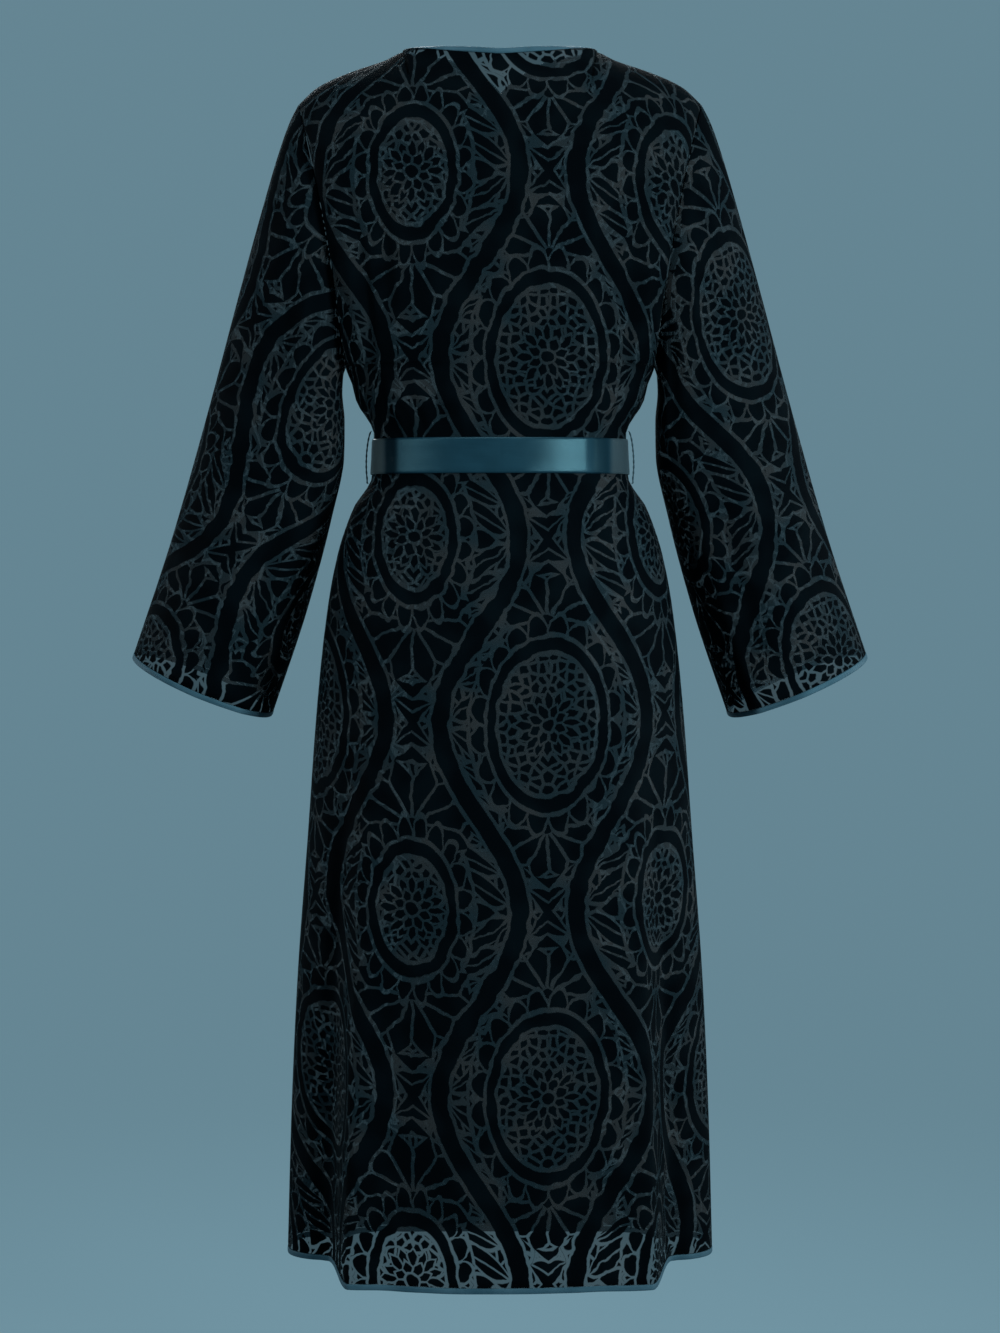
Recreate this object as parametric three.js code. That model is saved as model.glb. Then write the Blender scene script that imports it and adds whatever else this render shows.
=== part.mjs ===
// A long kimono robe, worn and tied, with no wearer: the cloth keeps its hollow form.
// Millimetres, +Z up. The wearer faces -Y and +X is the wearer's left.
// The origin lies midway between the shoulders, at the height of the back neckline.
import * as THREE from "three";

// Driving sizes
const backLength = 1242; // back neckline to hem
const clothThickness = 2;
const bindingWidth = 6;
const bindingThickness = 2.8;
const seamGap = 0.3;
const lapLift = 3.5; // how far the left front lies outside the right front
const beltWidth = 36;
const beltThickness = 1.6;
const beltTop = -390;
const beltSlack = 0.5; // between the cloth and the sash
const tailLength = 430;
const tailWidth = 36;
const loopRadius = 0.8;
const loopBulge = 5;

const shoulderTip = { x: 205, z: -48 };
const armpit = { x: 158, z: -316 };
const armholeDepth = { back: 56, front: 54 };
const armholeSag = 6; // the armhole seam bows in by this much at half its height
const neck = { halfWidth: 93, z: 5, y: 8, backY: 62 };
const roundOver = { back: 72, front: 82 }; // height over which the shoulder rounds to full depth

// Body sections down the figure: the half width, the depths behind and before, how square the section is, how far
// forward its sides lie, and how deep the back steps in at its side fold
const bodySections = [
  { z: 0, halfWidth: 158, back: 66, front: 78, square: 2.3, sweep: 0, step: 0 },
  { z: -60, halfWidth: 158, back: 84, front: 92, square: 2.3, sweep: 0, step: 0 },
  { z: -130, halfWidth: 158, back: 95, front: 107, square: 2.3, sweep: 0, step: 0 },
  { z: -220, halfWidth: 158, back: 99, front: 117, square: 2.3, sweep: 0, step: 0 },
  { z: -316, halfWidth: 158, back: 95, front: 113, square: 2.3, sweep: 0, step: 0 },
  { z: -330, halfWidth: 152, back: 94, front: 111, square: 2.3, sweep: 0, step: 0 },
  { z: -350, halfWidth: 147, back: 92, front: 107, square: 2.3, sweep: 0, step: 0 },
  { z: -384, halfWidth: 129, back: 85, front: 97, square: 2.3, sweep: 0, step: 0 },
  { z: -428, halfWidth: 131, back: 85, front: 97, square: 2.3, sweep: 0, step: 0 },
  { z: -460, halfWidth: 150, back: 96, front: 102, square: 2.3, sweep: 0, step: 0 },
  { z: -510, halfWidth: 167, back: 109, front: 108, square: 2.3, sweep: 0, step: 0 },
  { z: -570, halfWidth: 178, back: 119, front: 113, square: 2.3, sweep: 2, step: 0 },
  { z: -660, halfWidth: 188, back: 126, front: 118, square: 2.4, sweep: 6, step: 3 },
  { z: -800, halfWidth: 199, back: 129, front: 124, square: 2.6, sweep: 16, step: 18 },
  { z: -950, halfWidth: 211, back: 132, front: 130, square: 2.8, sweep: 30, step: 52 },
  { z: -1100, halfWidth: 219, back: 135, front: 135, square: 3, sweep: 46, step: 92 },
  { z: -1242, halfWidth: 224, back: 138, front: 139, square: 3.2, sweep: 60, step: 126 },
];
// The side fold of the back: it steps in between these shares of the half width
const sideFold = { from: 0.68, to: 0.8 };

// How far past the centre each front reaches, measured to its own edge
const frontEdge = [
  { z: 5, reach: -93 },
  { z: 0, reach: -48 },
  { z: -27, reach: 0 },
  { z: -70, reach: 24 },
  { z: -130, reach: 38 },
  { z: -240, reach: 56 },
  { z: -390, reach: 72 },
  { z: -700, reach: 96 },
  { z: -1242, reach: 112 },
];

// Height of the shoulder line and the back neckline, from the centre outwards
const shoulderLine = [
  { x: 0, z: 0 },
  { x: 93, z: 5 },
  { x: 118, z: -5 },
  { x: 154, z: -17 },
  { x: 185, z: -31 },
  { x: 205, z: -48 },
];

// Sleeve sections from the armhole to the cuff: its outer and its inner line, the depths behind and before, how far
// forward it has swung and how much lower its back lies than its middle
const sleeveSections = [
  { t: 0, outX: 205, outZ: -48.5, inX: 158.2, inZ: -315.6, back: 55.5, front: 53.5, forward: 0, tilt: 0 },
  { t: 0.05, outX: 214, outZ: -66, inX: 161, inZ: -325, back: 60, front: 57, forward: 1, tilt: 0 },
  { t: 0.12, outX: 225, outZ: -96, inX: 162, inZ: -342, back: 64, front: 61, forward: 3, tilt: 0 },
  { t: 0.25, outX: 243.5, outZ: -156, inX: 160, inZ: -370, back: 70, front: 66, forward: 9, tilt: 1 },
  { t: 0.4, outX: 267, outZ: -236, inX: 161, inZ: -406, back: 74, front: 70, forward: 20, tilt: 2 },
  { t: 0.6, outX: 303, outZ: -362, inX: 176, inZ: -474, back: 77, front: 74, forward: 38, tilt: 4 },
  { t: 0.8, outX: 343, outZ: -492, inX: 202, inZ: -566, back: 79, front: 77, forward: 58, tilt: 7 },
  { t: 1, outX: 387, outZ: -616, inX: 241, inZ: -678, back: 80, front: 80, forward: 80, tilt: 8 },
];

// Troughs, which are negative, and ridges down the body: the angle round it from the centre towards the wearer's left,
// the spread, and the heights where each begins, is deepest and ends
const bodyFolds = [
  { face: "back", at: 42, spread: 6, top: -70, full: -200, end: -330, depth: -7 },
  { face: "back", at: 55, spread: 6, top: -110, full: -250, end: -372, depth: -8 },
  { face: "back", at: -38, spread: 6, top: -80, full: -210, end: -330, depth: -7 },
  { face: "back", at: -52, spread: 6, top: -100, full: -240, end: -372, depth: -9 },
  { face: "back", at: -5, spread: 5, top: -427, full: -470, end: -700, depth: -6 },
  { face: "back", at: -30, spread: 5, top: -427, full: -462, end: -620, depth: -5 },
  { face: "back", at: 28, spread: 5, top: -427, full: -466, end: -640, depth: -4 },
  { face: "back", at: 2, spread: 5, top: -290, full: -364, end: -388, depth: -4 },
  { face: "back", at: 24, spread: 5, top: -300, full: -366, end: -388, depth: -4 },
  { face: "back", at: -30, spread: 5, top: -300, full: -368, end: -388, depth: -4 },
  { face: "back", at: 20, spread: 8, top: -800, full: -1200, end: -1600, depth: -8 },
  { face: "back", at: -16, spread: 8, top: -700, full: -1150, end: -1600, depth: -7 },
  { face: "front", at: 44, spread: 7, top: -600, full: -1180, end: -1600, depth: -20 },
  { face: "front", at: -44, spread: 7, top: -640, full: -1180, end: -1600, depth: -20 },
  { face: "front", at: 56, spread: 8, top: -100, full: -220, end: -372, depth: -8 },
  { face: "front", at: -56, spread: 8, top: -100, full: -220, end: -372, depth: -8 },
  { face: "front", at: 38, spread: 6, top: -427, full: -480, end: -760, depth: -6 },
  { face: "front", at: -38, spread: 6, top: -427, full: -480, end: -760, depth: -6 },
];

// Lengthwise troughs on a sleeve: where each lies round it from its outer line by the back, and the stretch it runs
const sleeveFolds = [
  { at: 78, spread: 12, top: 0.05, full: 0.3, end: 0.75, depth: -6 },
  { at: 130, spread: 11, top: 0.03, full: 0.2, end: 0.5, depth: -5 },
  { at: 110, spread: 10, top: 0.4, full: 0.7, end: 1.2, depth: -4 },
  { at: 250, spread: 13, top: 0.05, full: 0.3, end: 0.8, depth: -6 },
  { at: 300, spread: 12, top: 0.2, full: 0.5, end: 1.2, depth: -4 },
];

// The sash's knot, from its right end to its left: half height and how far it stands out
const knotSections = [
  { x: -25, halfHeight: 7, stand: 6, rise: -4 },
  { x: -19, halfHeight: 14, stand: 12, rise: -3 },
  { x: -9, halfHeight: 18.5, stand: 17, rise: -1 },
  { x: 0, halfHeight: 19.5, stand: 19, rise: 0 },
  { x: 9, halfHeight: 18.5, stand: 17, rise: 1 },
  { x: 19, halfHeight: 14, stand: 12, rise: 3 },
  { x: 25, halfHeight: 7, stand: 6, rise: 4 },
];

// The sash's hanging ends, by their share of the length: half width and how far they stand off the cloth
const tailSections = [
  { s: 0, halfWidth: 0.42, stand: 8, spread: 0.22 },
  { s: 0.08, halfWidth: 0.66, stand: 6, spread: 0.34 },
  { s: 0.2, halfWidth: 0.9, stand: 2, spread: 0.56 },
  { s: 0.4, halfWidth: 1, stand: 0.1, spread: 0.74 },
  { s: 0.7, halfWidth: 1, stand: 0.1, spread: 0.9 },
  { s: 1, halfWidth: 1, stand: 0.1, spread: 1 },
];

const { degToRad, radToDeg, lerp, smoothstep, clamp } = THREE.MathUtils;
const quarter = Math.PI / 2;
const vector = (x, y, z) => new THREE.Vector3(x, y, z);
const power = (value, exponent) => Math.sign(value) * Math.pow(Math.abs(value), exponent);

// A smooth curve through one column of a table, as a function of its key column
function through(rows, key, column) {
  const sorted = [...rows].sort((a, b) => a[key] - b[key]);
  const at = sorted.map((row) => row[key]);
  const value = sorted.map((row) => row[column]);
  const last = at.length - 1;
  const rise = (i, j) => (value[j] - value[i]) / (at[j] - at[i]);
  const slope = value.map((_, i) => {
    if (i === 0) return rise(0, 1);
    if (i === last) return rise(last - 1, last);
    const before = rise(i - 1, i);
    const after = rise(i, i + 1);
    return before * after <= 0 ? 0 : (2 * before * after) / (before + after);
  });
  return (place) => {
    if (place <= at[0]) return value[0] + slope[0] * (place - at[0]);
    if (place >= at[last]) return value[last] + slope[last] * (place - at[last]);
    const i = at.findIndex((x) => x > place) - 1;
    const span = at[i + 1] - at[i];
    const t = (place - at[i]) / span;
    const h = t * t * (3 - 2 * t);
    const bend = slope[i] * t * (1 - t) * (1 - t) - slope[i + 1] * t * t * (1 - t);
    return value[i] * (1 - h) + value[i + 1] * h + span * bend;
  };
}

// Every column of a table but its key, each as a curve
function curves(rows, key) {
  const columns = Object.keys(rows[0]).filter((name) => name !== key && typeof rows[0][name] === "number");
  return Object.fromEntries(columns.map((name) => [name, through(rows, key, name)]));
}

const body = curves(bodySections, "z");
const sleeve = curves(sleeveSections, "t");
const knot = curves(knotSections, "x");
const tail = curves(tailSections, "s");
const reachAt = through(frontEdge, "z", "reach");
const shoulderHeightAt = through(shoulderLine, "x", "z");

// How strongly a fold shows at a place along its run
function foldStrength(fold, along) {
  const down = Math.sign(fold.end - fold.top);
  if ((along - fold.top) * down < 0) return 0;
  if ((along - fold.full) * down < 0) return smoothstep((along - fold.top) / (fold.full - fold.top), 0, 1);
  return 1 - smoothstep((along - fold.full) / (fold.end - fold.full), 0, 1);
}

function foldDepth(folds, angle, along) {
  return folds.reduce((sum, fold) => {
    const off = (radToDeg(angle) - fold.at) / fold.spread;
    return sum + fold.depth * Math.exp(-off * off) * foldStrength(fold, along);
  }, 0);
}

const foldsOf = {
  back: bodyFolds.filter((fold) => fold.face === "back"),
  front: bodyFolds.filter((fold) => fold.face === "front"),
};

// Share of the half width and of the depth that a squared section has at an angle
const shareAt = (angle, square) => power(Math.sin(angle), 2 / square);
const roundAt = (angle, square) => power(Math.cos(angle), 2 / square);
const angleOf = (share, square) => Math.asin(power(clamp(share, -1, 1), square / 2));
const yokeSquare = body.square(armpit.z);

// The armhole seam: turn 0 is the shoulder tip and turn pi the armpit
function armhole(face, turn) {
  return {
    x: lerp(armpit.x, shoulderTip.x, (1 + Math.cos(turn)) / 2) - armholeSag * Math.sin(turn) ** 2,
    y: armholeDepth[face] * power(Math.sin(turn), 0.85),
    z: lerp(armpit.z, shoulderTip.z, (1 + Math.cos(turn)) / 2),
  };
}

// Height of the cloth at a level: 0 to 1 runs from the neck point to the armpit, and 1 to 2 on to the hem
function levelHeight(level) {
  if (level > 1) return lerp(armpit.z, -backLength, level - 1);
  return lerp(neck.z, armpit.z, (1 - Math.cos(Math.PI * level)) / 2);
}
const levelOf = (z) => 1 + (armpit.z - z) / (armpit.z + backLength);

// A point of the yoke, above the armpits. Depth behind or before is positive
function yokePoint(face, angle, level) {
  const turn = Math.PI * level;
  const edge = armhole(face, turn);
  const share = shareAt(angle, yokeSquare);
  const topX = Math.abs(share) * shoulderTip.x;
  const top = shoulderHeightAt(face === "front" ? Math.max(topX, neck.halfWidth) : topX);
  const z = lerp(top, armpit.z, (1 - Math.cos(turn)) / 2);
  const seamY = neck.y * (1 - smoothstep(topX, neck.halfWidth, shoulderTip.x));
  const inNeck = Math.min(topX / neck.halfWidth, 1);
  const neckY = lerp(neck.y, neck.backY, Math.sqrt(Math.max(0, 1 - inNeck * inNeck)));
  const topDepth = face === "back" ? (topX < neck.halfWidth ? neckY : seamY) : -seamY;
  const drop = Math.min((top - z) / roundOver[face], 1);
  const round = Math.sqrt(1 - (1 - drop) ** 2);
  const toShoulder = smoothstep(topX, 0.7 * neck.halfWidth, 1.2 * neck.halfWidth);
  const dome = face === "front" ? round : lerp(Math.sin(drop * quarter), round, toShoulder);
  const toEdge = lerp(dome, 1, smoothstep(topX, shoulderTip.x / 2, shoulderTip.x));
  const swell = (body[face](z) - edge.y) * roundAt(angle, yokeSquare);
  return { x: share * edge.x, depth: topDepth * (1 - dome) + edge.y * toEdge + swell * dome, z };
}

// A point of a body section below the armpits
function sectionPoint(face, angle, level) {
  const z = levelHeight(level);
  const share = shareAt(angle, body.square(z));
  const side = face === "back" ? -body.sweep(z) : body.sweep(z);
  const step = face === "back" ? body.step(z) * smoothstep(Math.abs(share), sideFold.from, sideFold.to) : 0;
  const depth = lerp(side, body[face](z) - step, roundAt(angle, body.square(z)));
  return { x: share * body.halfWidth(z), depth, z };
}

// A point of the robe's outer form on the back or the front
function bodyForm(face, level, angle) {
  const point = level < 1 ? yokePoint(face, angle, level) : sectionPoint(face, angle, level);
  const away = face === "back" ? 1 : -1;
  const over = Math.sin(angle) * body[face](point.z);
  const out = vector(over, away * Math.cos(angle) * body.halfWidth(point.z), 0).normalize();
  const place = vector(point.x, away * (point.depth + seamGap / 2), point.z);
  return place.addScaledVector(out, foldDepth(foldsOf[face], angle, point.z));
}

// The direction out of the body's form
function bodyOut(face, level, angle) {
  const step = 0.004;
  const down = bodyForm(face, Math.min(level + step, 2), angle);
  down.sub(bodyForm(face, Math.max(level - step, 0), angle));
  const over = bodyForm(face, level, Math.min(angle + step, quarter));
  over.sub(bodyForm(face, level, Math.max(angle - step, -quarter)));
  return (face === "back" ? over.cross(down) : down.cross(over)).normalize();
}

// A point of a sleeve's form. Side is 1 for the left and -1 for the right, and turn goes round from the outer line by
// the back
function sleeveForm(side, t, turn) {
  const middle = { x: (sleeve.outX(t) + sleeve.inX(t)) / 2, z: (sleeve.outZ(t) + sleeve.inZ(t)) / 2 };
  const reach = { x: (sleeve.outX(t) - sleeve.inX(t)) / 2, z: (sleeve.outZ(t) - sleeve.inZ(t)) / 2 };
  const sag = armholeSag * Math.sin(turn) ** 2 * (1 - smoothstep(t, 0, 0.2));
  const depth = Math.sin(turn) > 0 ? sleeve.back(t) : sleeve.front(t);
  const place = vector(
    middle.x + reach.x * Math.cos(turn) - sag + seamGap * (2 + Math.cos(turn)),
    depth * power(Math.sin(turn), lerp(0.85, 0.95, t)) - sleeve.forward(t),
    middle.z + reach.z * Math.cos(turn) - sleeve.tilt(t) * Math.sin(turn),
  );
  const out = vector(reach.x, 0, reach.z).normalize().multiplyScalar(Math.cos(turn));
  out.add(vector(0, Math.sin(turn), 0)).normalize();
  place.addScaledVector(out, foldDepth(sleeveFolds, turn, t));
  place.x *= side;
  return place;
}

// The direction out of a sleeve's form
function sleeveOut(side, t, turn) {
  const step = 0.004;
  const down = sleeveForm(side, Math.min(t + step, 1), turn).sub(sleeveForm(side, Math.max(t - step, 0), turn));
  const over = sleeveForm(side, t, turn + step).sub(sleeveForm(side, t, turn - step));
  return down.cross(over).normalize().multiplyScalar(side);
}

// Where the shoulder and the sleeve meet at a ridge, both walls lean the same way
function seamOut(side, face, turn, own) {
  const round = face === "back" ? turn : -turn;
  const ridge = 1 - smoothstep(turn, 0, degToRad(30));
  const other = bodyOut(face, turn / Math.PI, side * quarter).add(sleeveOut(side, 0, round)).normalize();
  return own.clone().lerp(other, ridge).normalize();
}

// A closed wall between two grids of points. The first index runs along and the second across. Ring joins the last
// column to the first, and turn reverses the faces of a mirrored grid
function wall(outer, inner, { ring = false, turn = false } = {}) {
  const rows = outer.length;
  const columns = outer[0].length;
  const outside = (i, j) => i * columns + (j % columns);
  const inside = (i, j) => rows * columns + outside(i, j);
  const faces = [];
  const quad = (a, b, c, d) => faces.push(...(turn ? [a, c, b, a, d, c] : [a, b, c, a, c, d]));
  const end = ring ? columns : columns - 1;
  for (let i = 0; i < rows - 1; i++) {
    for (let j = 0; j < end; j++) {
      quad(outside(i, j), outside(i, j + 1), outside(i + 1, j + 1), outside(i + 1, j));
      quad(inside(i, j), inside(i + 1, j), inside(i + 1, j + 1), inside(i, j + 1));
    }
    if (!ring) {
      quad(outside(i, 0), outside(i + 1, 0), inside(i + 1, 0), inside(i, 0));
      quad(outside(i, end), inside(i, end), inside(i + 1, end), outside(i + 1, end));
    }
  }
  for (let j = 0; j < end; j++) {
    quad(outside(0, j), inside(0, j), inside(0, j + 1), outside(0, j + 1));
    quad(outside(rows - 1, j), outside(rows - 1, j + 1), inside(rows - 1, j + 1), inside(rows - 1, j));
  }
  const geometry = new THREE.BufferGeometry();
  const points = [...outer.flat(), ...inner.flat()].flatMap((point) => point.toArray());
  geometry.setAttribute("position", new THREE.Float32BufferAttribute(points, 3));
  geometry.setIndex(faces);
  geometry.computeVertexNormals();
  return geometry;
}

// The wall over a list of rows and columns. Sheet gives each place's form point and its direction out
function sheetWall(rows, columns, sheet, lift, thickness, options) {
  const grid = (off) =>
    rows.map((r) =>
      columns.map((c) => {
        const { point, out } = sheet(r, c);
        return point.clone().addScaledVector(out, lift + off);
      }),
    );
  return wall(grid(0), grid(-thickness), options);
}

// Evenly spaced values, both ends included
const spaced = (from, to, steps) => Array.from({ length: steps + 1 }, (_, i) => lerp(from, to, i / steps));

const yokeLevels = [0, 0.045, 0.09, 0.15, 0.22, 0.31, 0.41, 0.51, 0.61, 0.71, 0.81, 0.91, 1];
const waistSeam = beltTop - beltWidth / 2; // each panel is joined here, under the sash
const aboveWaist = [-334, -352, -370, -390, waistSeam + seamGap / 2];
const belowWaist = [waistSeam - seamGap / 2, -426, -446, -468, -496, -532, -580];
const panelEnd = levelOf(-backLength + bindingWidth + seamGap);
const upperLevels = [...yokeLevels, ...aboveWaist.map(levelOf)];
const skirtLevels = [...belowWaist.map(levelOf), ...spaced(levelOf(-640), panelEnd, 8)];
const hemLevels = [levelOf(-backLength + bindingWidth), 2];
const neckAngle = angleOf(neck.halfWidth / shoulderTip.x, yokeSquare);
const neckColumns = 5;
const sideAngles = [27.5, 30.5, 33.5, 36.5, 39.5, 42.5, 46, 50, 55, 60, 66, 72, 78, 84, 90].map(degToRad);
const halfAngles = [...spaced(0, neckAngle, neckColumns), ...sideAngles];
const backAngles = [...halfAngles.slice(1).map((angle) => -angle).reverse(), ...halfAngles];
const frontSteps = 19;
const backTurns = yokeLevels.map((level) => level * Math.PI);
const frontTurns = [...backTurns].reverse().map((turn) => 2 * Math.PI - turn);
const sleeveTurns = [...backTurns, ...frontTurns.slice(1, -1)];
const seamTurn = 0.0012; // half the gap of a sleeve's two lengthwise seams
const sleeveRun = 650; // length of the last stretch of a sleeve for each whole step of t
const cuffStart = 1 - bindingWidth / sleeveRun;
const cuffGap = seamGap / sleeveRun;
const sleeveStages = [0, 0.03, 0.08, 0.15, 0.23, 0.32, 0.42, 0.52, 0.62, 0.72, 0.82, 0.91, cuffStart - cuffGap];
const proud = (bindingThickness - clothThickness) / 2; // how far a binding stands out of the cloth

// The back neckline, from the right neck point to the left one, and the band inset from it over the cloth
function neckBand(angle, inset) {
  const share = shareAt(angle, yokeSquare) * (shoulderTip.x / neck.halfWidth);
  const round = Math.sqrt(Math.max(0, 1 - share * share));
  const edge = vector(neck.halfWidth * share, lerp(neck.y, neck.backY, round), shoulderHeightAt(Math.abs(share) * neck.halfWidth));
  edge.y += seamGap / 2;
  const out = vector(0, round * round, 0.3 * round * round + share * share).normalize();
  const along = vector(neck.halfWidth * round, -(neck.backY - neck.y) * share, 0).normalize();
  const down = vector(out.x, out.y, out.z).cross(along).normalize();
  return { point: edge.addScaledVector(down, inset), out };
}

// The back's outer form, cut down at the neck to make room for its binding
function backSheet(level, angle) {
  const point = bodyForm("back", level, angle);
  const out = bodyOut("back", level, angle);
  if (Math.abs(angle) <= neckAngle + 1e-6) {
    const band = neckBand(angle, bindingWidth + seamGap);
    const shift = band.point.clone().sub(bodyForm("back", 0, angle));
    const fade = 1 - smoothstep(level, 0, 0.4);
    point.addScaledVector(shift, fade);
    out.lerp(band.out, 1 - smoothstep(level, 0, 0.35)).normalize();
  }
  if (level < 1 && Math.abs(angle) > quarter - 1e-6) {
    out.copy(seamOut(Math.sign(angle), "back", Math.PI * level, out));
  }
  return { point, out };
}

// How far the left front stands off the right one
function lap(point) {
  const reach = Math.max(reachAt(point.z), 0);
  return lapLift * (1 - smoothstep(point.x, reach + 8, reach + 48)) * smoothstep(-point.z, -6, 30);
}

// A front's outer form. Side is 1 for the left front, which lies over, and -1 for the right. Across is 0 at the side
// seam and 1 at the front edge, less the inset
function frontSheet(side, level, across, inset) {
  const z = levelHeight(level);
  const wide = level < 1 ? armhole("front", Math.PI * level).x : body.halfWidth(z);
  const square = level < 1 ? yokeSquare : body.square(z);
  const slope = (reachAt(z - 4) - reachAt(z + 4)) / 8;
  const edge = -reachAt(z) + inset * Math.min(Math.hypot(1, slope), 1.6);
  const angle = lerp(quarter, angleOf(edge / wide, square), across) * side;
  const point = bodyForm("front", level, angle);
  const out = bodyOut("front", level, angle);
  if (level < 1 && across === 0) out.copy(seamOut(side, "front", Math.PI * level, out));
  if (side > 0) point.addScaledVector(out, lap(point));
  return { point, out };
}

function sleeveSheet(side, t, turn) {
  const out = sleeveOut(side, t, turn);
  if (t === 0) {
    const face = turn <= Math.PI ? "back" : "front";
    out.copy(seamOut(side, face, Math.min(turn, 2 * Math.PI - turn), out));
  }
  return { point: sleeveForm(side, t, turn), out };
}

// The panels above and below the waist, the bindings and the sleeves
const front = (side, levels) =>
  sheetWall(
    levels,
    spaced(0, 1, frontSteps),
    (level, across) => frontSheet(side, level, across, bindingWidth + seamGap),
    0,
    clothThickness,
    { turn: side < 0 },
  );
const frontHem = (side) =>
  sheetWall(
    hemLevels,
    spaced(0, 1, frontSteps),
    (level, across) => frontSheet(side, level, across, 0),
    proud,
    bindingThickness,
    { turn: side < 0 },
  );
const frontEdgeBand = (side, levels) =>
  sheetWall(
    levels,
    [bindingWidth, 0],
    (level, inset) => frontSheet(side, level, 1, inset),
    proud,
    bindingThickness,
    { turn: side < 0 },
  );
const sleeveTube = (side, stages, lift, thickness) =>
  sheetWall(stages, sleeveTurns, (t, turn) => sleeveSheet(side, t, turn), lift, thickness, {
    ring: true,
    turn: side > 0,
  });
const halfSleeve = (side, turns) => {
  const held = turns.map((turn) => clamp(turn, turns[0] + seamTurn, turns.at(-1) - seamTurn));
  const sheet = (t, turn) => sleeveSheet(side, t, turn);
  return sheetWall(sleeveStages, held, sheet, 0, clothThickness, { turn: side > 0 });
};
const back = (levels) => sheetWall(levels, backAngles, backSheet, 0, clothThickness);
const backHem = sheetWall(hemLevels, backAngles, backSheet, proud, bindingThickness);
const neckAngles = backAngles.filter((angle) => Math.abs(angle) <= neckAngle + 1e-6);
const neckBinding = sheetWall(
  [0, bindingWidth],
  neckAngles,
  (inset, angle) => neckBand(angle, inset),
  proud,
  bindingThickness,
);

// The sash's band. Turn goes round from the centre of the back by the wearer's left
function beltSheet(z, turn) {
  const behind = Math.cos(turn) >= 0;
  const face = behind ? "back" : "front";
  const angle = behind ? Math.atan2(Math.sin(turn), Math.cos(turn)) : Math.PI - turn;
  const level = levelOf(z);
  const point = bodyForm(face, level, angle);
  const out = bodyOut(face, level, angle);
  if (!behind) {
    const reach = reachAt(z);
    const over = smoothstep(point.x, -reach - 26, -reach - 3);
    point.addScaledVector(out, (lap(point) + proud) * over);
  }
  return { point, out };
}
const beltHeights = [beltTop, beltTop - beltWidth / 2, beltTop - beltWidth];
const belt = sheetWall(
  beltHeights,
  spaced(0, 2 * Math.PI, 72).slice(0, -1),
  beltSheet,
  beltSlack + beltThickness,
  beltThickness,
  { ring: true },
);

// The knot, lying against the sash at the centre of the front
function beltKnot() {
  const middle = beltTop - beltWidth / 2;
  const against = beltSheet(middle, Math.PI).point.y - beltSlack - beltThickness - 0.6;
  const sides = 16;
  const rings = knotSections.map(({ x }) =>
    spaced(0, 2 * Math.PI, sides)
      .slice(0, -1)
      .map((turn) => {
        const crease = 1 - 0.16 * Math.exp(-(((turn - quarter + x / 40) / 0.35) ** 2));
        const out = knot.stand(x) * (0.5 + 0.5 * power(Math.sin(turn), 0.8)) * crease;
        return vector(x, against - out, middle + knot.rise(x) + knot.halfHeight(x) * power(Math.cos(turn), 0.8));
      }),
  );
  return solid(rings);
}

// A solid through closed rings of points, with a flat end at the first and at the last
function solid(rings) {
  const count = rings[0].length;
  const points = rings.flat();
  const faces = [];
  rings.slice(1).forEach((_, i) => {
    for (let j = 0; j < count; j++) {
      const next = (j + 1) % count;
      const [a, b] = [i * count + j, i * count + next];
      faces.push(a, b, b + count, a, b + count, a + count);
    }
  });
  const last = (rings.length - 1) * count;
  for (let j = 1; j < count - 1; j++) {
    faces.push(0, j + 1, j);
    faces.push(last, last + j, last + j + 1);
  }
  const geometry = new THREE.BufferGeometry();
  geometry.setAttribute(
    "position",
    new THREE.Float32BufferAttribute(points.flatMap((point) => point.toArray()), 3),
  );
  geometry.setIndex(faces);
  geometry.computeVertexNormals();
  return geometry;
}

// A hanging end of the sash, lying down the front below the knot
function beltTail(side, endX, length) {
  const top = beltTop - beltWidth - 1.9;
  const point = (s, across) => {
    const z = top - s * length;
    const x = side * 3 + endX * tail.spread(s) + (across * tailWidth * tail.halfWidth(s)) / 2;
    const level = levelOf(z);
    const angle = angleOf(x / body.halfWidth(z), body.square(z));
    const out = bodyOut("front", level, angle);
    const place = bodyForm("front", level, angle);
    place.addScaledVector(out, lap(place) + tail.stand(s));
    return { point: place, out };
  };
  return sheetWall(spaced(0, 1, 16), spaced(-1, 1, 4), point, beltThickness + seamGap, beltThickness, { turn: true });
}

// A thread loop at a side seam, bowed out round the sash
function threadLoop(side) {
  const [from, to] = [beltTop + 9, beltTop - beltWidth - 9];
  const sides = 6;
  const centre = (s) => {
    const z = lerp(from, to, s);
    const away = loopRadius + 1.9 + loopBulge * Math.sqrt(Math.sin(Math.PI * s));
    return vector(side * (body.halfWidth(z) + away), 0, z);
  };
  const rings = spaced(0, 1, 12).map((s) => {
    const along = centre(Math.min(s + 0.01, 1)).sub(centre(Math.max(s - 0.01, 0))).normalize();
    const across = vector(0, 1, 0);
    const out = along.clone().cross(across);
    return spaced(0, 2 * Math.PI, sides)
      .slice(0, -1)
      .map((turn) => {
        const place = centre(s).addScaledVector(across, loopRadius * Math.cos(turn));
        return place.addScaledVector(out, loopRadius * Math.sin(turn));
      });
  });
  return solid(rings);
}

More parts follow.
